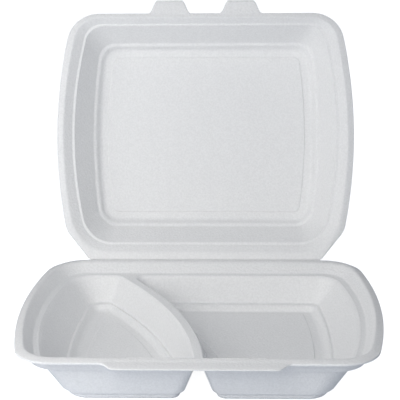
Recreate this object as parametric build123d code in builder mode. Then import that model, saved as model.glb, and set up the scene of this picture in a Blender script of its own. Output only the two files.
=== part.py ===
# Hinged meal box with two compartments, thermoformed from one sheet of white polystyrene foam.
# The tray stands on the table with its lid swung up and leaning a little back.
# Millimetres, +Z up. The hinge is at the back along X and the opening tongue is at the front.
# The origin is on the table under the middle of the open box.
# Both shells are drawn as they come off the mould, rim upwards, on a plane that lies on the rim.
# There, "out" is a distance from the hinge line and "down" is a distance below the rim.
from build123d import *
from math import cos, radians, sin, sqrt, tan
import os

# Sheet
sheet = 2.3
floor_round = 4.0
wall_level = sheet / cos(radians(30))

# Tray
tray_width = 252.0
tray_out = 188.5
tray_depth = 35.5
tray_near_corner = 30.0
tray_far_corner = 28.0

# Lid, whose corners are cut off slanting beside the hinge
lid_width = 230.0
lid_out = 190.5
lid_depth = 34.0
lid_far_corner = 26.0
hinge_inset = 25.0
shoulder_out = 22.0
shoulder_round = 20.0
shoulder_slant = 0.5

# Rim, which has the same section on both shells
side_bow = 12.4
edge_drop = 0.9
edge_thickness = 1.7
crest_inset = 4.0
crest_width = 0.8
ledge_inset = 11.4
ledge_inset_front = 7.5
ledge_down = 2.6
least_corner = 8.0
least_well_corner = 3.0

# Tray basin above the divider
step_down = 7.5
basin_draft = 3.0
step_width = 1.5

# Tray compartments
floor_inset = 37.0
floor_bow = 5.0
floor_near = 18.5
floor_far_inset = 19.5
well_corner_top = 18.0
well_corner_near = 6.0
well_corner_far = 13.0
divider_corner = 5.0
pad_rise = 0.7
pad_inset = 9.0
small_pad_near = 22.0

# Divider between the compartments, an arc seen from above that meets the back near the left side
divider_near_inset = 31.23
divider_apex_x = -2.1
divider_centre_out = 193.7
crest_half = 3.8
crest_bevel = 1.2
crest_bevel_down = 1.8
divider_foot_half = 12.65

# Lid panel
panel_inset = 28.4
panel_bow = 4.5
panel_near = 28.1
panel_far_inset = 22.6
panel_corner = 14.0
panel_end_cut = 14.0
frame_width = 8.5
panel_rise = 0.9

# Latch
tab_spacing = 55.2
tab_root = 32.0
tab_tip = 20.0
tab_reach = 10.0
tab_round = 4.0
tongue_root = 121.0
tongue_tip = 104.0
tongue_reach = 8.5
tongue_round = 8.0
slot_length = 34.0
slot_width = 1.2
slot_inset = 6.2

# Hinge
open_angle = 107.5
closed_gap = 0.3
crease_gap = 0.3

# Distances that follow from these
hinge_half = lid_width / 2 - hinge_inset
panel_half = lid_width / 2 - panel_inset
floor_half = tray_width / 2 - floor_inset
divider_back_x = floor_half - divider_near_inset - divider_apex_x
divider_back_out = divider_centre_out - floor_near
divider_radius = (divider_back_x**2 + divider_back_out**2) / (2 * divider_back_x)
divider_centre_x = divider_apex_x + divider_radius
divider_draft = (divider_foot_half - crest_half) / (tray_depth - sheet - step_down)
divider_level = sheet * sqrt(1 + divider_draft**2)
floor_down = tray_depth - sheet
band_inset = crest_inset + crest_width
basin_inset = ledge_inset + basin_draft
basin_inset_front = ledge_inset_front + basin_draft
under_inset = ledge_inset - wall_level
under_inset_front = ledge_inset_front - wall_level
flange_under = edge_drop + edge_thickness

# Corners of a sketch count as level with each other within this distance
same_place = 0.01

# Planes on the two rims, with Y away from the hinge. The tray's X runs from right to left.
lean = radians(180 - open_angle)
pivot = Vector(0, crease_gap / 2, tray_depth + closed_gap / 2)
tray_rim = Plane((0, 0, tray_depth), x_dir=(-1, 0, 0), z_dir=(0, 0, 1))
lid_normal = Vector(0, -sin(lean), cos(lean))
lid_away = Vector(0, cos(lean), sin(lean))
lid_origin = pivot + lid_away * (crease_gap / 2) - lid_normal * (closed_gap / 2)
lid_rim = Plane(lid_origin, x_dir=(1, 0, 0), z_dir=lid_normal)


def rounded(face, out, radius):
    """Round the sketch's corners that lie at one distance from the hinge."""
    fillet([v for v in face.sketch_local.vertices() if abs(v.Y - out) < same_place], radius)


def corner_arc(centre, radius, line_out, corner_round, up, branch, inside):
    """Start, middle and end of the arc that rounds the corner of a line across and a big circle.

    Up is 1 where the outline lies beyond the line and -1 where it lies before it. Branch says on
    which side of the circle's centre the corner is, and inside is -1 outside the circle.
    """
    reach = radius - inside * corner_round
    out = line_out + up * corner_round
    x = centre.X + branch * sqrt(reach**2 - (out - centre.Y) ** 2)
    middle = Vector(x, out)
    on_line = Vector(x, line_out)
    on_circle = centre + (middle - centre) * (radius / reach)
    outward = (on_line + on_circle - middle * 2).normalized()
    return on_line, middle + outward * corner_round, on_circle


def floor_bends(radius):
    """Rise above the floor and inset from the wall of the two bends that round a wall's foot."""
    bend = radius * tan(radians(22.5))
    return ((radius - bend, 0), (0, radius - bend))


def bowed_face(plane, half, bow, near, far, near_corner, far_corner):
    """Rectangle with bowed sides and four rounded corners."""
    end = half - bow
    middle = (near + far) / 2
    with BuildSketch(plane) as face:
        with BuildLine():
            Line((-end, near), (end, near))
            ThreePointArc((end, near), (half, middle), (end, far))
            Line((end, far), (-end, far))
            ThreePointArc((-end, far), (-half, middle), (-end, near))
        make_face()
        rounded(face, near, near_corner)
        rounded(face, far, far_corner)
    return face.sketch


def cut_face(plane, half, bow, near, far, end_half, shoulder, end_corner, far_corner):
    """Bowed rectangle whose two corners at the hinge are cut off slanting."""
    end = half - bow
    middle = (near + far) / 2
    wide = half - bow * ((middle - shoulder) / (far - middle)) ** 2
    with BuildSketch(plane) as face:
        with BuildLine():
            Line((-end_half, near), (end_half, near))
            Line((end_half, near), (wide, shoulder))
            ThreePointArc((wide, shoulder), (half, middle), (end, far))
            Line((end, far), (-end, far))
            ThreePointArc((-end, far), (-half, middle), (-wide, shoulder))
            Line((-wide, shoulder), (-end_half, near))
        make_face()
        rounded(face, shoulder, shoulder_round)
        rounded(face, far, far_corner)
        if end_corner:
            rounded(face, near, end_corner)
    return face.sketch


def tray_face(side, near, far, down):
    """Tray outline drawn in from the edge, at a distance below the rim."""
    near_corner = max(tray_near_corner - side, least_corner)
    far_corner = max(tray_far_corner - side, least_corner)
    plane = tray_rim.offset(-down)
    half = tray_width / 2 - side
    return bowed_face(plane, half, side_bow, near, tray_out - far, near_corner, far_corner)


def lid_face(side, near, far, down, end_corner):
    """Lid outline drawn in from the edge, at a distance below the rim."""
    far_corner = max(lid_far_corner - side, least_corner)
    plane = lid_rim.offset(-down)
    half = lid_width / 2 - side
    end_half = hinge_half - near * shoulder_slant
    shoulder = shoulder_out + near * shoulder_slant / 2
    return cut_face(
        plane, half, side_bow, near, lid_out - far, end_half, shoulder, end_corner, far_corner
    )


def well_face(side, down, grow, near_extra=0):
    """Outline of one compartment: side is 1 for the small one and -1 for the main one."""
    part_way = (down - step_down) / (tray_depth - sheet - step_down)
    inset = basin_draft + step_width
    half_top = tray_width / 2 - ledge_inset - inset
    half = half_top + (floor_half - half_top) * part_way + grow
    bow = side_bow + (floor_bow - side_bow) * part_way
    near_top = ledge_inset + inset
    near = near_top + (floor_near - near_top) * part_way - grow + near_extra
    far_top = tray_out - ledge_inset_front - inset
    far = far_top + (tray_out - floor_far_inset - far_top) * part_way + grow
    near_round = well_corner_top + (well_corner_near - well_corner_top) * part_way + grow
    far_round = well_corner_top + (well_corner_far - well_corner_top) * part_way + grow
    divider_round = max(divider_corner + grow, least_well_corner)
    divider_grow = grow * divider_level / wall_level if grow > 0 else grow
    reach = crest_half + (down - step_down) * divider_draft - divider_grow
    radius = divider_radius - side * reach
    middle = (near + far) / 2

    bow_radius = (bow**2 + (middle - near) ** 2) / (2 * bow)
    bow_centre = Vector(side * (half - bow_radius), middle)
    divider_centre = Vector(divider_centre_x, divider_centre_out)
    divider_middle = divider_centre_x - sqrt(radius**2 - (middle - divider_centre_out) ** 2)
    near_round = max(near_round, least_well_corner)
    far_round = max(far_round, least_well_corner)
    near_divider = corner_arc(divider_centre, radius, near, divider_round, 1, -1, side)
    near_outer = corner_arc(bow_centre, bow_radius, near, near_round, 1, side, 1)
    far_outer = corner_arc(bow_centre, bow_radius, far, far_round, -1, side, 1)
    far_divider = corner_arc(divider_centre, radius, far, divider_round, -1, -1, side)
    with BuildSketch(tray_rim.offset(-down)) as face:
        with BuildLine():
            Line(near_divider[0], near_outer[0])
            ThreePointArc(near_outer[0], near_outer[1], near_outer[2])
            ThreePointArc(near_outer[2], (side * half, middle), far_outer[2])
            ThreePointArc(far_outer[2], far_outer[1], far_outer[0])
            Line(far_outer[0], far_divider[0])
            ThreePointArc(far_divider[0], far_divider[1], far_divider[2])
            ThreePointArc(far_divider[2], (divider_middle, middle), near_divider[2])
            ThreePointArc(near_divider[2], near_divider[1], near_divider[0])
        make_face()
    return face.sketch


def lid_wall_face(down, grow):
    """Outline of the lid's hollow between its ledge and its panel, grown by a distance."""
    part_way = (down - ledge_down) / (lid_depth - sheet - ledge_down)

    def between(at_ledge, at_panel):
        return at_ledge + (at_panel - at_ledge) * part_way

    half = between(lid_width / 2 - ledge_inset, panel_half) + grow
    near = between(ledge_inset, panel_near) - grow
    far = between(lid_out - ledge_inset_front, lid_out - panel_far_inset) + grow
    end_half = between(hinge_half - ledge_inset * shoulder_slant, panel_half - panel_end_cut)
    shoulder = between(shoulder_out + ledge_inset * shoulder_slant / 2, panel_near + panel_end_cut)
    far_corner = between(lid_far_corner - ledge_inset, panel_corner) + grow
    return cut_face(
        lid_rim.offset(-down), half, between(side_bow, panel_bow), near, far,
        end_half + grow * shoulder_slant, shoulder - grow * shoulder_slant / 2,
        least_corner, max(far_corner, least_well_corner)
    )


def well_outside(side):
    """Outside of one compartment, a sheet larger than its hollow."""
    sections = [well_face(side, step_down + sheet / 2, wall_level)]
    for rise, inset in floor_bends(floor_round + sheet):
        sections.append(well_face(side, tray_depth - rise, wall_level - inset))
    with BuildPart() as well:
        loft(sections, ruled=True)
    return well.part


def well_hollow(side):
    """Space inside one compartment, with the bevel round its mouth."""
    sections = [well_face(side, step_down, crest_bevel)]
    sections.append(well_face(side, step_down + crest_bevel_down, 0))
    for rise, inset in floor_bends(floor_round):
        sections.append(well_face(side, floor_down - rise, -inset))
    with BuildPart() as well:
        loft(sections, ruled=True)
    return well.part


def pad_face(side, down):
    """Outline of the raised panel in one compartment's floor."""
    return well_face(side, down, -pad_inset, small_pad_near if side > 0 else 0)


# Tray
with BuildPart() as tray:
    # Flange, whose top falls away outside the crest, except along the hinge
    flange_low = tray_face(0, 0, 0, flange_under)
    flange_edge = tray_face(0, 0, 0, edge_drop)
    flange_crest = tray_face(crest_inset, 0, crest_inset, 0)
    loft([flange_low, flange_edge], ruled=True)
    loft([flange_edge, flange_crest], ruled=True)
    # Underside of the basin, a sheet below its inside
    under_top = tray_face(under_inset, under_inset, under_inset_front, flange_under)
    under_step = tray_face(
        basin_inset - wall_level, basin_inset - wall_level, basin_inset_front - wall_level,
        step_down + sheet
    )
    loft([under_top, under_step], ruled=True)
    for side in (1, -1):
        add(well_outside(side))
    # Inside of the rim and basin
    band_top = tray_face(band_inset, band_inset, band_inset, 0)
    ledge = tray_face(ledge_inset, ledge_inset, ledge_inset_front, ledge_down)
    basin_floor = tray_face(basin_inset, basin_inset, basin_inset_front, step_down)
    loft([band_top, ledge], ruled=True, mode=Mode.SUBTRACT)
    loft([ledge, basin_floor], ruled=True, mode=Mode.SUBTRACT)
    for side in (1, -1):
        add(well_hollow(side), mode=Mode.SUBTRACT)
    # Panel of each floor, pushed up off the table
    for side in (1, -1):
        extrude(pad_face(side, floor_down), pad_rise)
        extrude(pad_face(side, tray_depth), pad_rise, mode=Mode.SUBTRACT)
    # Opening tongue with its two slots
    with BuildSketch(tray_rim.offset(-flange_under)) as tongue:
        with BuildLine():
            Polyline(
                (-tongue_root / 2, tray_out - tongue_round), (-tongue_root / 2, tray_out),
                (-tongue_tip / 2, tray_out + tongue_reach), (tongue_tip / 2, tray_out + tongue_reach),
                (tongue_root / 2, tray_out), (tongue_root / 2, tray_out - tongue_round), close=True
            )
        make_face()
        rounded(tongue, tray_out + tongue_reach, tongue_round)
    extrude(amount=edge_thickness)
    with BuildSketch(tray_rim):
        with Locations((0, tray_out - slot_inset)):
            with GridLocations(tab_spacing, 0, 2, 1):
                SlotOverall(slot_length, slot_width)
    extrude(amount=-flange_under - sheet, mode=Mode.SUBTRACT)


# Latch tab, drawn from its root
with BuildSketch(Plane.XY) as tab_sketch:
    with BuildLine():
        Polyline(
            (-tab_root / 2, -tab_round), (-tab_root / 2, 0), (-tab_tip / 2, tab_reach),
            (tab_tip / 2, tab_reach), (tab_root / 2, 0), (tab_root / 2, -tab_round), close=True
        )
    make_face()
    rounded(tab_sketch, tab_reach, tab_round)

# Lid
with BuildPart() as lid:
    edge_low = lid_face(0, 0, 0, flange_under, 0)
    edge_top = lid_face(0, 0, 0, edge_drop, 0)
    crest = lid_face(crest_inset, 0, crest_inset, 0, 0)
    loft([edge_low, edge_top], ruled=True)
    loft([edge_top, crest], ruled=True)
    outside = [lid_wall_face(flange_under, wall_level)]
    for rise, inset in floor_bends(floor_round + sheet):
        outside.append(lid_wall_face(lid_depth - rise, wall_level - inset))
    loft(outside, ruled=True)
    # Inside, down to the panel
    band_top = lid_face(band_inset, band_inset, band_inset, 0, least_corner)
    inside = [lid_wall_face(ledge_down, 0)]
    for rise, inset in floor_bends(floor_round):
        inside.append(lid_wall_face(lid_depth - sheet - rise, -inset))
    loft([band_top, inside[0]], ruled=True, mode=Mode.SUBTRACT)
    loft(inside, ruled=True, mode=Mode.SUBTRACT)
    # Raised panel, hollow from outside
    extrude(lid_wall_face(lid_depth - sheet, -frame_width), panel_rise)
    extrude(lid_wall_face(lid_depth, -frame_width), panel_rise, mode=Mode.SUBTRACT)
    # Two latch tabs
    with BuildSketch(lid_rim.offset(-flange_under)):
        with Locations((0, lid_out)):
            with GridLocations(tab_spacing, 0, 2, 1):
                add(tab_sketch.sketch)
    extrude(amount=edge_thickness)

# Bring the origin under the middle of the open box
front = tray.part.bounding_box().min.Y
back = lid.part.bounding_box().max.Y
to_origin = Location((0, -(front + back) / 2, 0))
tray.part.move(to_origin)
lid.part.move(to_origin)
print("hinge axis at y", round(pivot.Y - (front + back) / 2, 3), "z", round(pivot.Z, 3))

os.makedirs("parts", exist_ok=True)
tray.part.label = "tray"
export_step(tray.part, "parts/tray.step")
lid.part.label = "lid"
export_step(lid.part, "parts/lid.step")
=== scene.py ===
"""Hinged meal box with two compartments, formed from one sheet of white foam, standing open."""

from math import cos, pi, radians, sin, sqrt, tan

import bmesh
import bpy
from mathutils import Matrix, Vector


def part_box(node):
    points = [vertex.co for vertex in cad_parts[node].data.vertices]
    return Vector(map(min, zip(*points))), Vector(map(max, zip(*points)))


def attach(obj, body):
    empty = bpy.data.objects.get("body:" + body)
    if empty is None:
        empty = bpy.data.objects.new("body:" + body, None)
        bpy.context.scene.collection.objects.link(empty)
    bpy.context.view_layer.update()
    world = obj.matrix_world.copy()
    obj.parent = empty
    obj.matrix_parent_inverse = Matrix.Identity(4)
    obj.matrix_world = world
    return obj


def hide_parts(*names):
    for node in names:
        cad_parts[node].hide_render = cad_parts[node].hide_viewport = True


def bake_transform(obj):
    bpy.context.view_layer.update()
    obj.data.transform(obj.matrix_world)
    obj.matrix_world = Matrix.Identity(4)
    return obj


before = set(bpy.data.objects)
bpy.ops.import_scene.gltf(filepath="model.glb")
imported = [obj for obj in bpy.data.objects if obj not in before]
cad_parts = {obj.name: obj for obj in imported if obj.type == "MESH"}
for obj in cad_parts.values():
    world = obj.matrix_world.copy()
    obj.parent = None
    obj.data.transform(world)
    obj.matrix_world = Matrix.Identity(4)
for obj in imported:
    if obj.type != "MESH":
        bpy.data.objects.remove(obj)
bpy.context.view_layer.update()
MM = 0.001

# Sizes in millimetres. "out" is a distance from the hinge line and "down" one below the rim.
SHEET = 2.3
WALL_LEVEL = SHEET / cos(radians(30))

# Rim of both halves: a flange with a dropped edge, a steep band inside it and a flat ledge
EDGE_DROP = 0.9
EDGE_INSET = 0.6
EDGE_SHOULDER_DOWN = EDGE_DROP * 0.85
HINGE_EDGE_INSET = 0.3
FLANGE_UNDER = 2.6
CREST_INSET = 4.0
BAND_TOP = 5.2
BAND_FOOT = 11.2
BAND_UNDER = 3.8
SIDE_BOW = 12.4
LEAST_CORNER = 8.0
# Where the walls would meet the rim of the solids, from which they take their slope
LEDGE_INSET = 11.4
LEDGE_INSET_FRONT = 7.5
LEDGE_DOWN = 2.6

# Step round the foot of both halves
FOOT_RISE = 5.0
FOOT_WIDTH = 2.2
FOOT_REAR = 3.2
FOOT_GROOVE = 0.4
FOOT_CREST = 0.1
FOOT_ROUND = 2.0
FOOT_UNDERCUT = 0.3
FOOT_FLARE = 0.5

# Tray, drawn 0.05 narrower than the solid, whose facets fall that short
TRAY_WIDTH = 251.95
TRAY_OUT = 188.5
TRAY_DEPTH = 35.5
TRAY_NEAR_CORNER = 30.0
TRAY_FAR_CORNER = 28.0
TRAY_BAND_DOWN = 7.1
FRONT_BAND_TOP = 7.2
FRONT_BAND_FOOT = 9.6
STEP_DOWN = 7.5
BASIN_DRAFT = 3.0
STEP_WIDTH = 1.5
MOUTH_STRIP = 0.15
MOUTH_UNDER_FRONT = 0.5

# Wells of the tray, their floors and raised pads, and the curved divider between them
FLOOR_HALF = 89.0
FLOOR_BOW = 5.0
FLOOR_NEAR = 18.5
FLOOR_FAR_INSET = 19.5
WELL_CORNER_TOP = 18.0
WELL_CORNER_NEAR = 6.0
WELL_CORNER_FAR = 13.0
DIVIDER_CORNER = 5.0
LEAST_WELL_CORNER = 3.0
PAD_RISE = 0.7
PAD_INSET = 9.0
PAD_RAMP = 0.7
PAD_RAMP_UNDER = 1.0
PAD_STRIP = 3.0
SMALL_PAD_NEAR = 22.0
DIVIDER_RADIUS = 286.3
DIVIDER_APEX_X = -2.1
DIVIDER_CENTRE_OUT = 193.7
CREST_HALF = 3.8
CREST_BEVEL = 1.2
CREST_BEVEL_DOWN = 1.8
CREST_EDGE = CREST_BEVEL * 0.7
DIVIDER_DRAFT = tan(radians(19))

# Lid
LID_WIDTH = 230.0
LID_OUT = 190.5
LID_DEPTH = 34.0
LID_FAR_CORNER = 26.0
LID_BAND_DOWN = 5.5
LID_FRONT_CREST = 3.0
LID_FRONT_BAND_TOP = 3.8
LID_FRONT_UNDER = 2.2
LID_FOOT_ROUND = 2.8
HINGE_HALF = 90.0
# Corner radii beside the hinge, at the band's foot, at its top, below the flange and on the wall
HINGE_CORNER = 24.0
CORNER_TOP = HINGE_CORNER + 2
CORNER_UNDER = HINGE_CORNER + 3
CORNER_WALL = HINGE_CORNER - 1
SHOULDER_OUT = 22.0
SHOULDER_ROUND = 20.0
SHOULDER_SLANT = 0.5
END_ROUND = 1.5
PANEL_HALF = 86.6
PANEL_BOW = 4.5
PANEL_NEAR = 28.1
PANEL_FAR_INSET = 22.6
PANEL_CORNER = 14.0
PANEL_END_CUT = 11.5
PANEL_SHOULDER_CUT = 8.0
PANEL_HINGE_CORNER = 11.0
FRAME_WIDTH = 8.5
PANEL_RISE = 0.9
PANEL_RAMP = 0.7
PANEL_STEP = 1.1
PANEL_STRIP = 1.5
# How a cut-off corner moves when its outline shrinks, and how much its radii follow
CUT_SLANT = 0.414
CUT_GROWTH = 0.8

# Latch: tabs on the lid, tongue and slots on the tray
TAB_SPACING = 55.2
TAB_ROOT = 32.0
TAB_TIP = 20.0
TAB_REACH = 10.0
TONGUE_ROOT = 121.0
TONGUE_TIP = 104.0
TONGUE_REACH = 8.5
SLOT_LENGTH = 34.0
SLOT_WIDTH = 1.2
SLOT_INSET = 6.2
SLOT_TOP = -2
SLOT_BOTTOM = 8

# Crease and the lid's lean at rest
LEAN = radians(72.5)
CLOSED_GAP = 0.3
CREASE_GAP = 0.3
CREASE_END = 1.0
CREASE_GRIP = 0.8
CREASE_TOP = 0.9
CREASE_UNDER = 2.0

# How finely the outlines are drawn: points along each side, then points round each corner
TRAY_SIDES = (40, 40, 180, 40)
LID_SIDES = (40, 10, 44, 180, 44, 10)
WELL_SIDES = (30, 40, 30, 40)
CORNER_POINTS = 14
BEND_STEPS = 5
SLOT_POINTS = 24
CREASE_STEPS = 30
# Share of a corner's tangent that a cubic curve's handle takes, for a quarter turn
HANDLE = 0.5523
# Largest share that a bend takes of each line beside it, and the least length of such a line
MOST_SHARE = 0.49
LEAST_LENGTH = 0.01
# Distance in a section over which a small form is rounded
CRISP = 0.35
# How far a ramp's ends are eased
SOFTNESS = 0.072
SHARP_ANGLE = radians(35)
# Slack with which a point counts as lying on the front edge, and one in metres for a shared point
EDGE_SLACK = 0.001
POINT_SLACK = 0.000002

# Studio, with the ground that the box stands on
GROUND_TINT = (0.74, 0.785, 0.86)
GROUND_GLOW = 0.95
GROUND_DROP = 0.2
WORLD_LIGHT = (0.262, 0.277, 0.302)
LAMP_TINT = (1.0, 0.985, 0.96)
# Half the ground's width and the point that the lamps are aimed at, in metres like the lamps' sizes
GROUND_HALF = 6
LAMP_AIM = (0, 0, 0.1)

# Camera, solved from the photograph with the hinge line at the given place
CAMERA_PLACE = (31.6, -857.4, 368.3)
CAMERA_PIVOT_Y = 57.25
CAMERA_YAW = radians(2.178)
CAMERA_DIP = radians(17.269)
CAMERA_ROLL = radians(-0.585)
CAMERA_LENS = 113.3

# Places taken from the frame
_, tray_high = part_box("tray")
rear = tray_high.y / MM
rim = tray_high.z / MM
pivot_y = rear + CREASE_GAP / 2
pivot_z = rim + CLOSED_GAP / 2


def tray_point(x, out, down):
    """Place of a point of the tray, whose outlines run from right to left."""
    return Vector((-x, rear - out, rim - down)) * MM


def lid_point(x, out, down):
    """Place of a point of the open lid."""
    away, below = out + CREASE_GAP / 2, down + CLOSED_GAP / 2
    y = pivot_y + away * cos(LEAN) + below * sin(LEAN)
    z = pivot_z + away * sin(LEAN) - below * cos(LEAN)
    return Vector((x, y, z)) * MM


def mix(a, b, share):
    """Station part of the way from one to another."""
    return tuple(p + (q - p) * share for p, q in zip(a, b))


def rounded(start, bend, end, share):
    """Station on a cubic curve that rounds off the middle one of three."""
    near_start, near_end = mix(start, bend, HANDLE), mix(end, bend, HANDLE)
    first, second = mix(start, near_start, share), mix(near_start, near_end, share)
    third = mix(near_end, end, share)
    return mix(mix(first, second, share), mix(second, third, share), share)


def section(stations, depth=-2):
    """Stations of a shell's section with every bend rounded over its own distance.

    An entry is a station and that distance. The station's first value is its half width or growth,
    and depth is the index of how far down it lies.
    """
    path = [stations[0][0]]
    for (a, _), (b, distance), (c, _) in zip(stations, stations[1:], stations[2:]):
        to_a = sqrt((a[0] - b[0]) ** 2 + (a[depth] - b[depth]) ** 2)
        to_c = sqrt((c[0] - b[0]) ** 2 + (c[depth] - b[depth]) ** 2)
        start = mix(b, a, min(distance / max(to_a, LEAST_LENGTH), MOST_SHARE))
        end = mix(b, c, min(distance / max(to_c, LEAST_LENGTH), MOST_SHARE))
        for step in range(BEND_STEPS + 1):
            path.append(rounded(start, b, end, step / BEND_STEPS))
    path.append(stations[-1][0])
    return path


def outline(corners, side_points):
    """Closed outline. A corner is x, out, its radius and how far the side after it bulges in x."""
    count = len(corners)

    def side_at(i, share):
        (x0, out0, _, bulge), (x1, out1, _, _) = corners[i], corners[(i + 1) % count]
        x = x0 + (x1 - x0) * share + 4 * bulge * share * (1 - share)
        return Vector((x, out0 + (out1 - out0) * share))

    def slope_at(i, share):
        (x0, out0, _, bulge), (x1, out1, _, _) = corners[i], corners[(i + 1) % count]
        return Vector((x1 - x0 + 4 * bulge * (1 - 2 * share), out1 - out0))

    trims = []
    for i in range(count):
        before, after = slope_at(i - 1, 1), slope_at(i, 0)
        turn = before.angle(after)
        reach = corners[i][2] * tan(turn / 2)
        trims.append((reach / before.length, reach / after.length, turn))
    points = []
    for i in range(count):
        cut_before, cut_after, turn = trims[i]
        start, end = side_at(i - 1, 1 - cut_before), side_at(i, cut_after)
        handle = corners[i][2] * tan(turn / 4) * 4 / 3
        leave = start + slope_at(i - 1, 1 - cut_before).normalized() * handle
        arrive = end - slope_at(i, cut_after).normalized() * handle
        for k in range(CORNER_POINTS):
            t = k / (CORNER_POINTS - 1)
            u = 1 - t
            points.append(start * u**3 + leave * 3 * u * u * t + arrive * 3 * u * t * t + end * t**3)
        last = 1 - trims[(i + 1) % count][0]
        for k in range(1, side_points[i] + 1):
            points.append(side_at(i, cut_after + (last - cut_after) * k / (side_points[i] + 1)))
    return points


def eased(value):
    """Straight ramp from 0 to 1 with a soft start and end."""
    value = min(max(value, 0), 1)
    return value - SOFTNESS * sin(2 * pi * value)


def tongue_reach(x):
    """How far the opening tongue stands out from the tray's front edge."""
    return TONGUE_REACH * eased((TONGUE_ROOT / 2 - abs(x)) / (TONGUE_ROOT / 2 - TONGUE_TIP / 2))


def tab_reach(x):
    """How far the two latch tabs stand out from the lid's edge."""
    from_middle = abs(abs(x) - TAB_SPACING / 2)
    return TAB_REACH * eased((TAB_ROOT / 2 - from_middle) / (TAB_ROOT / 2 - TAB_TIP / 2))


def tray_rim_station(side, near, far, down, latch=0):
    """Half width, bow, near, far, two corner radii, down and latch, from insets of the rim's outline."""
    return (
        TRAY_WIDTH / 2 - side, SIDE_BOW, near, TRAY_OUT - far,
        max(TRAY_NEAR_CORNER - side, LEAST_CORNER), max(TRAY_FAR_CORNER - side, LEAST_CORNER),
        down, latch,
    )


def tray_rim_ring(station):
    """Outline of the tray's rim at a station."""
    half, bow, near, far, near_corner, far_corner, down, latch = station
    end = half - bow
    corners = (
        (-end, near, near_corner, 0), (end, near, near_corner, bow),
        (end, far, far_corner, 0), (-end, far, far_corner, -bow),
    )
    ring = []
    for x, out in outline(corners, TRAY_SIDES):
        if latch and out > far - EDGE_SLACK:
            out += tongue_reach(x) * latch
        ring.append(tray_point(x, out, down))
    return ring


def well_ring(side, station):
    """Outline of a well at a station: its growth, its extra distance from the hinge, and down."""
    grow, near_extra, down = station
    part_way = (down - STEP_DOWN) / (TRAY_DEPTH - SHEET - STEP_DOWN)
    inset = BASIN_DRAFT + STEP_WIDTH

    def between(top, bottom):
        return top + (bottom - top) * part_way

    half = between(TRAY_WIDTH / 2 - LEDGE_INSET - inset, FLOOR_HALF) + grow
    bow = between(SIDE_BOW, FLOOR_BOW)
    near = between(LEDGE_INSET + inset, FLOOR_NEAR) - grow + near_extra
    far = between(TRAY_OUT - LEDGE_INSET_FRONT - inset, TRAY_OUT - FLOOR_FAR_INSET) + grow
    near_round = max(between(WELL_CORNER_TOP, WELL_CORNER_NEAR) + grow, LEAST_WELL_CORNER)
    far_round = max(between(WELL_CORNER_TOP, WELL_CORNER_FAR) + grow, LEAST_WELL_CORNER)
    divider_round = max(DIVIDER_CORNER + grow, LEAST_WELL_CORNER)
    radius = DIVIDER_RADIUS - side * (CREST_HALF + (down - STEP_DOWN) * DIVIDER_DRAFT - grow)

    def divider_x(out):
        return DIVIDER_APEX_X + DIVIDER_RADIUS - sqrt(radius**2 - (out - DIVIDER_CENTRE_OUT) ** 2)

    end = side * (half - bow)
    near_x, far_x = divider_x(near), divider_x(far)
    sag = divider_x((near + far) / 2) - (near_x + far_x) / 2
    corners = (
        (near_x, near, divider_round, 0), (end, near, near_round, side * bow),
        (end, far, far_round, 0), (far_x, far, divider_round, sag),
    )
    return [tray_point(x, out, down) for x, out in outline(corners, WELL_SIDES)]


def lid_rim_station(side, near, far, down, end_corner, latch=0):
    """Half width, bow, near, far, hinge half, shoulder, three radii, down and latch, from insets."""
    return (
        LID_WIDTH / 2 - side, SIDE_BOW, near, LID_OUT - far, HINGE_HALF - near * SHOULDER_SLANT,
        SHOULDER_OUT + near * SHOULDER_SLANT / 2, end_corner, max(SHOULDER_ROUND, end_corner),
        max(LID_FAR_CORNER - side, LEAST_CORNER), down, latch,
    )


def lid_wall_station(down, grow):
    """The same values for the lid's sloping wall, grown outwards from its inside face."""
    part_way = (down - LEDGE_DOWN) / (LID_DEPTH - SHEET - LEDGE_DOWN)

    def between(at_ledge, at_panel):
        return at_ledge + (at_panel - at_ledge) * part_way

    end_half = between(HINGE_HALF - LEDGE_INSET * SHOULDER_SLANT, PANEL_HALF - PANEL_END_CUT)
    shoulder = between(SHOULDER_OUT + LEDGE_INSET * SHOULDER_SLANT / 2, PANEL_NEAR + PANEL_SHOULDER_CUT)
    hinge_corner = between(CORNER_WALL, PANEL_HINGE_CORNER) + grow * CUT_GROWTH
    end_slant, shoulder_slant = CUT_SLANT, CUT_SLANT
    if grow > 0:
        end_slant, shoulder_slant = SHOULDER_SLANT, SHOULDER_SLANT / 2
    far_corner = between(LID_FAR_CORNER - LEDGE_INSET, PANEL_CORNER) + grow
    return (
        between(LID_WIDTH / 2 - LEDGE_INSET, PANEL_HALF) + grow, between(SIDE_BOW, PANEL_BOW),
        between(LEDGE_INSET, PANEL_NEAR) - grow,
        between(LID_OUT - LEDGE_INSET_FRONT, LID_OUT - PANEL_FAR_INSET) + grow,
        end_half + grow * end_slant, shoulder - grow * shoulder_slant,
        hinge_corner, hinge_corner, max(far_corner, LEAST_WELL_CORNER), down, 0,
    )


def lid_ring(station):
    """Outline of the lid at a station."""
    half, bow, near, far, end_half, shoulder, *corner_radii, down, latch = station
    end_corner, shoulder_corner, far_corner = corner_radii
    end, middle = half - bow, (near + far) / 2
    wide = half - bow * ((middle - shoulder) / (far - middle)) ** 2
    bulge = bow * ((far - shoulder) / (far - middle)) ** 2 / 4
    corners = (
        (-end_half, near, end_corner, 0), (end_half, near, end_corner, 0),
        (wide, shoulder, shoulder_corner, bulge), (end, far, far_corner, 0),
        (-end, far, far_corner, -bulge), (-wide, shoulder, shoulder_corner, 0),
    )
    ring = []
    for x, out in outline(corners, LID_SIDES):
        if latch and out > far - EDGE_SLACK:
            out += tab_reach(x) * latch
        ring.append(lid_point(x, out, down))
    return ring


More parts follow.
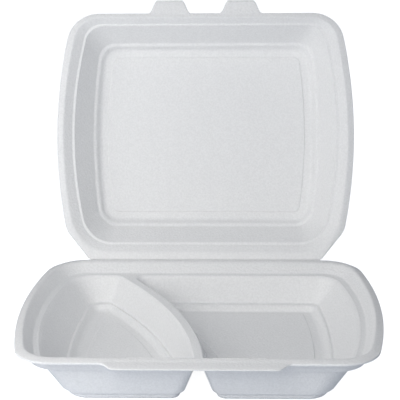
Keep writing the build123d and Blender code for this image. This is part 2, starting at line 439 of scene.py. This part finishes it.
def skin(mesh, rings):
    """Walls between outlines. Returns the first and the last outline's vertices."""
    rows = [[mesh.verts.new(point) for point in ring] for ring in rings]
    for low, high in zip(rows, rows[1:]):
        for k in range(len(low)):
            mesh.faces.new((low[k - 1], low[k], high[k], high[k - 1]))
    return rows[0], rows[-1]


def fill(mesh, *loops):
    """Flat face inside an outline, around any holes in it."""
    edges = []
    for loop in loops:
        for k in range(len(loop)):
            pair = (loop[k - 1], loop[k])
            edges.append(mesh.edges.get(pair) or mesh.edges.new(pair))
    bmesh.ops.triangle_fill(mesh, edges=edges, use_beauty=True)


def finished(mesh, name, material):
    """Object from a closed mesh, smooth but for its sharp edges."""
    bmesh.ops.remove_doubles(mesh, verts=mesh.verts, dist=POINT_SLACK)
    bmesh.ops.recalc_face_normals(mesh, faces=mesh.faces)
    for face in mesh.faces:
        face.smooth = True
    for edge in mesh.edges:
        if len(edge.link_faces) == 2 and edge.calc_face_angle(0) > SHARP_ANGLE:
            edge.smooth = False
    data = bpy.data.meshes.new(name)
    mesh.to_mesh(data)
    mesh.free()
    made = bpy.data.objects.new(name, data)
    bpy.context.scene.collection.objects.link(made)
    data.materials.append(material)
    return made


def make_tray(material):
    """Rim of the tray, with the skins of both wells hung into it above and below."""
    mesh = bmesh.new()
    mouth_inset, mouth_front = LEDGE_INSET + BASIN_DRAFT, LEDGE_INSET_FRONT + BASIN_DRAFT
    inner_inset, inner_front = mouth_inset + MOUTH_STRIP, mouth_front + MOUTH_STRIP
    under_foot, under_mouth = BAND_FOOT - SHEET, mouth_inset - WALL_LEVEL
    under_front, under_down = mouth_front - WALL_LEVEL, STEP_DOWN + SHEET
    rim_path = section((
        (tray_rim_station(inner_inset, inner_inset, inner_front, STEP_DOWN), 0),
        (tray_rim_station(mouth_inset, mouth_inset, mouth_front, STEP_DOWN), CRISP),
        (tray_rim_station(BAND_FOOT, BAND_FOOT, FRONT_BAND_FOOT, TRAY_BAND_DOWN), 0.7),
        (tray_rim_station(BAND_TOP, BAND_TOP, FRONT_BAND_TOP, 0), 1.2),
        (tray_rim_station(CREST_INSET, 0, CREST_INSET, 0), 1.0),
        (tray_rim_station(EDGE_INSET, 0, EDGE_INSET, EDGE_SHOULDER_DOWN), 0.3),
        (tray_rim_station(0, 0, 0, EDGE_DROP, 1), 0.6),
        (tray_rim_station(0, 0, 0, FLANGE_UNDER, 1), 0.6),
        (tray_rim_station(EDGE_INSET, HINGE_EDGE_INSET, EDGE_INSET, FLANGE_UNDER), 0.3),
        (tray_rim_station(BAND_UNDER, BAND_UNDER, LEDGE_INSET_FRONT - WALL_LEVEL, FLANGE_UNDER), 1.2),
        (tray_rim_station(under_foot, under_foot, under_front, under_down), 0.8),
        (tray_rim_station(under_mouth, under_mouth, under_front + MOUTH_UNDER_FRONT, under_down), 0),
    ))
    above, below = skin(mesh, [tray_rim_ring(station) for station in rim_path])
    floor, pad_end = TRAY_DEPTH - SHEET, -PAD_INSET - PAD_STRIP
    outer_foot = WALL_LEVEL - FOOT_WIDTH
    mouths, throats = [], []
    for side in (1, -1):
        pad_near = SMALL_PAD_NEAR if side > 0 else 0
        inside = section((
            ((CREST_BEVEL, 0, STEP_DOWN), 0),
            ((CREST_EDGE, 0, STEP_DOWN), 0.8),
            ((0, 0, STEP_DOWN + CREST_BEVEL_DOWN), 0.8),
            ((0, 0, floor - FOOT_RISE + FOOT_GROOVE), 0.5),
            ((-FOOT_WIDTH, FOOT_REAR, floor - FOOT_RISE - FOOT_CREST), 0.8),
            ((-FOOT_WIDTH, FOOT_REAR, floor), FOOT_ROUND),
            ((-PAD_INSET, pad_near, floor), CRISP),
            ((-PAD_INSET - PAD_RAMP, pad_near, floor - PAD_RISE), CRISP),
            ((pad_end, pad_near, floor - PAD_RISE), 0),
        ), depth=-1)
        mouth, bottom = skin(mesh, [well_ring(side, station) for station in inside])
        fill(mesh, bottom)
        mouths.append(mouth)
        outside = section((
            ((WALL_LEVEL, 0, under_down), 0),
            ((WALL_LEVEL, 0, TRAY_DEPTH - FOOT_RISE - FOOT_CREST), 1.0),
            ((outer_foot - FOOT_UNDERCUT, FOOT_REAR, TRAY_DEPTH - FOOT_RISE + FOOT_GROOVE), 0.5),
            ((outer_foot + FOOT_FLARE, FOOT_REAR, TRAY_DEPTH - FOOT_RISE / 2), 0.8),
            ((outer_foot, FOOT_REAR, TRAY_DEPTH), FOOT_ROUND),
            ((-PAD_INSET, pad_near, TRAY_DEPTH), 1.2),
            ((-PAD_INSET - PAD_RAMP_UNDER, pad_near, TRAY_DEPTH - PAD_RISE), 0.8),
            ((pad_end, pad_near, TRAY_DEPTH - PAD_RISE), 0),
        ), depth=-1)
        throat, bottom = skin(mesh, [well_ring(side, station) for station in outside])
        fill(mesh, bottom)
        throats.append(throat)
    fill(mesh, above, *mouths)
    fill(mesh, below, *throats)
    tray = finished(mesh, "foam_tray", material)
    cut_slots(tray)
    return tray


def cut_slots(tray):
    """Two slots behind the tongue, which take the lid's tabs."""
    mesh = bmesh.new()
    for side in (-1, 1):
        ring = []
        for k in range(SLOT_POINTS):
            turn = 2 * pi * k / SLOT_POINTS
            straight = (SLOT_LENGTH - SLOT_WIDTH) / 2 * (1 if cos(turn) > 0 else -1)
            x = side * TAB_SPACING / 2 + straight + cos(turn) * SLOT_WIDTH / 2
            ring.append((x, TRAY_OUT - SLOT_INSET + sin(turn) * SLOT_WIDTH / 2))
        levels = [[tray_point(x, out, down) for x, out in ring] for down in (SLOT_TOP, SLOT_BOTTOM)]
        top, bottom = skin(mesh, levels)
        fill(mesh, top)
        fill(mesh, bottom)
    cutter = finished(mesh, "slot_cutter", None)
    cut = tray.modifiers.new("slots", "BOOLEAN")
    cut.operation = "DIFFERENCE"
    cut.solver = "EXACT"
    cut.object = cutter
    bpy.context.view_layer.objects.active = tray
    bpy.ops.object.modifier_apply(modifier=cut.name)
    bpy.data.objects.remove(cutter)


def make_lid(material):
    """Lid as one closed skin, from the panel's inside over the rim to the panel's outside."""
    mesh = bmesh.new()
    floor = LID_DEPTH - SHEET
    panel_edge, panel_end = -FRAME_WIDTH - PANEL_RAMP, -FRAME_WIDTH - PANEL_STRIP
    under_foot, under_down = BAND_FOOT - SHEET, LID_BAND_DOWN + SHEET
    under_front, outer_foot = LEDGE_INSET_FRONT - SHEET, WALL_LEVEL - FOOT_WIDTH
    path = section((
        (lid_wall_station(floor - PANEL_RISE, panel_end), 0),
        (lid_wall_station(floor - PANEL_RISE, panel_edge), CRISP),
        (lid_wall_station(floor, panel_edge + PANEL_STEP), CRISP),
        (lid_wall_station(floor, -FOOT_WIDTH), FOOT_ROUND),
        (lid_wall_station(floor - FOOT_RISE, -FOOT_WIDTH), 1.6),
        (lid_wall_station(floor - FOOT_RISE, 0), 1.2),
        (lid_wall_station(LID_BAND_DOWN, 0), CRISP),
        (lid_rim_station(BAND_FOOT, BAND_FOOT, LEDGE_INSET_FRONT, LID_BAND_DOWN, HINGE_CORNER), CRISP),
        (lid_rim_station(BAND_TOP, BAND_TOP, LID_FRONT_BAND_TOP, 0, CORNER_TOP), 1.2),
        (lid_rim_station(CREST_INSET, 0, LID_FRONT_CREST, 0, END_ROUND), 1.0),
        (lid_rim_station(EDGE_INSET, 0, EDGE_INSET, EDGE_SHOULDER_DOWN, END_ROUND), 0.3),
        (lid_rim_station(0, 0, 0, EDGE_DROP, END_ROUND, 1), 0.6),
        (lid_rim_station(0, 0, 0, FLANGE_UNDER, END_ROUND, 1), 0.6),
        (lid_rim_station(EDGE_INSET, HINGE_EDGE_INSET, EDGE_INSET, FLANGE_UNDER, END_ROUND), 0.3),
        (lid_rim_station(BAND_UNDER, BAND_UNDER, LID_FRONT_UNDER, FLANGE_UNDER, CORNER_UNDER), 1.0),
        (lid_rim_station(under_foot, under_foot, under_front, under_down, CORNER_TOP), 0.6),
        (lid_wall_station(under_down, WALL_LEVEL), 0.6),
        (lid_wall_station(LID_DEPTH - FOOT_RISE - FOOT_CREST, WALL_LEVEL), 1.0),
        (lid_wall_station(LID_DEPTH - FOOT_RISE + FOOT_GROOVE, outer_foot - FOOT_UNDERCUT), 0.5),
        (lid_wall_station(LID_DEPTH - FOOT_RISE / 2, outer_foot + FOOT_FLARE), 0.8),
        (lid_wall_station(LID_DEPTH, outer_foot), LID_FOOT_ROUND),
        (lid_wall_station(LID_DEPTH, -FRAME_WIDTH), 0.8),
        (lid_wall_station(LID_DEPTH - PANEL_RISE, panel_edge), CRISP),
        (lid_wall_station(LID_DEPTH - PANEL_RISE, panel_end), 0),
    ))
    inner, outer = skin(mesh, [lid_ring(station) for station in path])
    fill(mesh, inner)
    fill(mesh, outer)
    return finished(mesh, "foam_lid", material)


def make_hinge(material):
    """Thin crease of the same sheet, which joins the tray to the lid."""
    mesh = bmesh.new()
    half = HINGE_HALF - CREASE_END

    def across(down):
        return [
            tray_point(0, CREASE_GRIP, down), tray_point(0, 0, down),
            lid_point(0, 0, down), lid_point(0, CREASE_GRIP, down),
        ]

    profile = across(CREASE_TOP) + across(CREASE_UNDER)[::-1]
    rings = []
    for k in range(CREASE_STEPS + 1):
        x = (-half + 2 * half * k / CREASE_STEPS) * MM
        rings.append([Vector((x, point.y, point.z)) for point in profile])
    first, last = skin(mesh, rings)
    fill(mesh, first)
    fill(mesh, last)
    return finished(mesh, "foam_hinge", material)


def foam():
    """Near-white foam sheet, with a fine grain and slight unevenness."""
    material = bpy.data.materials.new("foam")
    material.use_nodes = True
    nodes, links = material.node_tree.nodes, material.node_tree.links
    shader = nodes["Principled BSDF"]
    place = nodes.new("ShaderNodeTexCoord")

    def noise(scale, detail):
        node = nodes.new("ShaderNodeTexNoise")
        node.inputs["Scale"].default_value = scale
        node.inputs["Detail"].default_value = detail
        links.new(place.outputs["Object"], node.inputs["Vector"])
        return node

    def bump(strength, distance, scale, detail):
        node = nodes.new("ShaderNodeBump")
        node.inputs["Strength"].default_value = strength
        node.inputs["Distance"].default_value = distance
        links.new(noise(scale, detail).outputs["Fac"], node.inputs["Height"])
        return node

    tint = nodes.new("ShaderNodeValToRGB")
    dark, light = tint.color_ramp.elements
    dark.position, light.position = 0.36, 0.64
    dark.color, light.color = (0.822, 0.824, 0.827, 1), (0.87, 0.872, 0.875, 1)
    links.new(noise(750, 2).outputs["Fac"], tint.inputs["Fac"])
    links.new(tint.outputs["Color"], shader.inputs["Base Color"])
    rough = nodes.new("ShaderNodeMapRange")
    rough.inputs["To Min"].default_value = 0.5
    rough.inputs["To Max"].default_value = 0.65
    links.new(noise(120, 2).outputs["Fac"], rough.inputs["Value"])
    links.new(rough.outputs["Result"], shader.inputs["Roughness"])
    shader.inputs["Specular IOR Level"].default_value = 0.3
    grain = bump(0.7, 0.0005, 650, 3)
    waves = bump(0.2, 0.0004, 55, 2)
    links.new(waves.outputs["Normal"], grain.inputs["Normal"])
    links.new(grain.outputs["Normal"], shader.inputs["Normal"])
    return material


def make_floor():
    """White floor, which looks brighter to the camera than the light alone would make it."""
    mesh = bmesh.new()
    bmesh.ops.create_grid(mesh, x_segments=1, y_segments=1, size=GROUND_HALF)
    data = bpy.data.meshes.new("floor")
    mesh.to_mesh(data)
    mesh.free()
    floor = bpy.data.objects.new("floor", data)
    bpy.context.scene.collection.objects.link(floor)
    material = bpy.data.materials.new("floor")
    material.use_nodes = True
    nodes, links = material.node_tree.nodes, material.node_tree.links
    shader = nodes["Principled BSDF"]
    shader.inputs["Base Color"].default_value = (*GROUND_TINT, 1)
    shader.inputs["Roughness"].default_value = 0.9
    rays = nodes.new("ShaderNodeLightPath")
    shader.inputs["Emission Color"].default_value = (1, 1, 1, 1)
    glow = nodes.new("ShaderNodeMath")
    glow.operation = "MULTIPLY"
    glow.inputs[1].default_value = GROUND_GLOW
    links.new(rays.outputs["Is Camera Ray"], glow.inputs[0])
    links.new(glow.outputs["Value"], shader.inputs["Emission Strength"])
    data.materials.append(material)
    # A hair lower, so that it and the feet don't share a plane
    floor.location.z = -GROUND_DROP * MM


def make_world():
    """Even, slightly cool surroundings, pure white where the camera sees them."""
    world = bpy.data.worlds.new("studio")
    bpy.context.scene.world = world
    world.use_nodes = True
    nodes, links = world.node_tree.nodes, world.node_tree.links
    rays = nodes.new("ShaderNodeLightPath")
    seen = nodes.new("ShaderNodeValToRGB")
    seen.color_ramp.elements[0].color = (*WORLD_LIGHT, 1)
    seen.color_ramp.elements[1].color = (1, 1, 1, 1)
    links.new(rays.outputs["Is Camera Ray"], seen.inputs["Fac"])
    links.new(seen.outputs["Color"], nodes["Background"].inputs["Color"])


def softbox(name, turn, height, distance, size, power):
    """Square light aimed at the box. It is turned from the front, to the left if turn is negative."""
    direction = Vector((sin(turn) * cos(height), -cos(turn) * cos(height), sin(height)))
    light = bpy.data.lights.new(name, "AREA")
    light.size = size
    light.energy = power
    light.color = LAMP_TINT
    lamp = bpy.data.objects.new(name, light)
    lamp.location = Vector(LAMP_AIM) + direction * distance
    lamp.rotation_euler = direction.to_track_quat("Z", "Y").to_euler()
    lamp.visible_camera = False
    bpy.context.scene.collection.objects.link(lamp)


def make_camera():
    """The photograph's view, from in front and above."""
    x, y, z = CAMERA_PLACE
    place = Vector((x, y + (pivot_y - CAMERA_PIVOT_Y), z)) * MM
    yaw, dip, roll = CAMERA_YAW, CAMERA_DIP, CAMERA_ROLL
    level = Vector((cos(yaw), sin(yaw), 0))
    ahead = Vector((-sin(yaw), cos(yaw), 0))
    upright = Vector((0, 0, 1))
    forward = ahead * cos(dip) - upright * sin(dip)
    above = ahead * sin(dip) + upright * cos(dip)
    right = level * cos(roll) + above * sin(roll)
    top = above * cos(roll) - level * sin(roll)
    data = bpy.data.cameras.new("camera")
    data.lens = CAMERA_LENS
    data.sensor_width = 36
    camera = bpy.data.objects.new("camera", data)
    camera.matrix_world = Matrix((
        (right.x, top.x, -forward.x, place.x), (right.y, top.y, -forward.y, place.y),
        (right.z, top.z, -forward.z, place.z), (0, 0, 0, 1),
    ))
    bpy.context.scene.collection.objects.link(camera)
    bpy.context.scene.camera = camera


foam_sheet = foam()
tray = make_tray(foam_sheet)
lid = make_lid(foam_sheet)
hinge = make_hinge(foam_sheet)
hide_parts("tray")
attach(tray, "tray")
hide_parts("lid")
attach(lid, "lid")
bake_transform(hinge)

make_floor()
make_world()
softbox("key", radians(-15), radians(30), 0.6, 0.35, 1.75)
softbox("front", radians(-15), radians(8), 1.6, 0.8, 1.8)
softbox("left_low", radians(-60), radians(8), 0.42, 0.25, 0.28)
softbox("left", radians(-60), radians(25), 0.42, 0.25, 0.13)
make_camera()
bpy.context.scene.view_settings.view_transform = "Standard"

print("triangles", [sum(len(p.vertices) - 2 for p in o.data.polygons) for o in (tray, lid, hinge)])
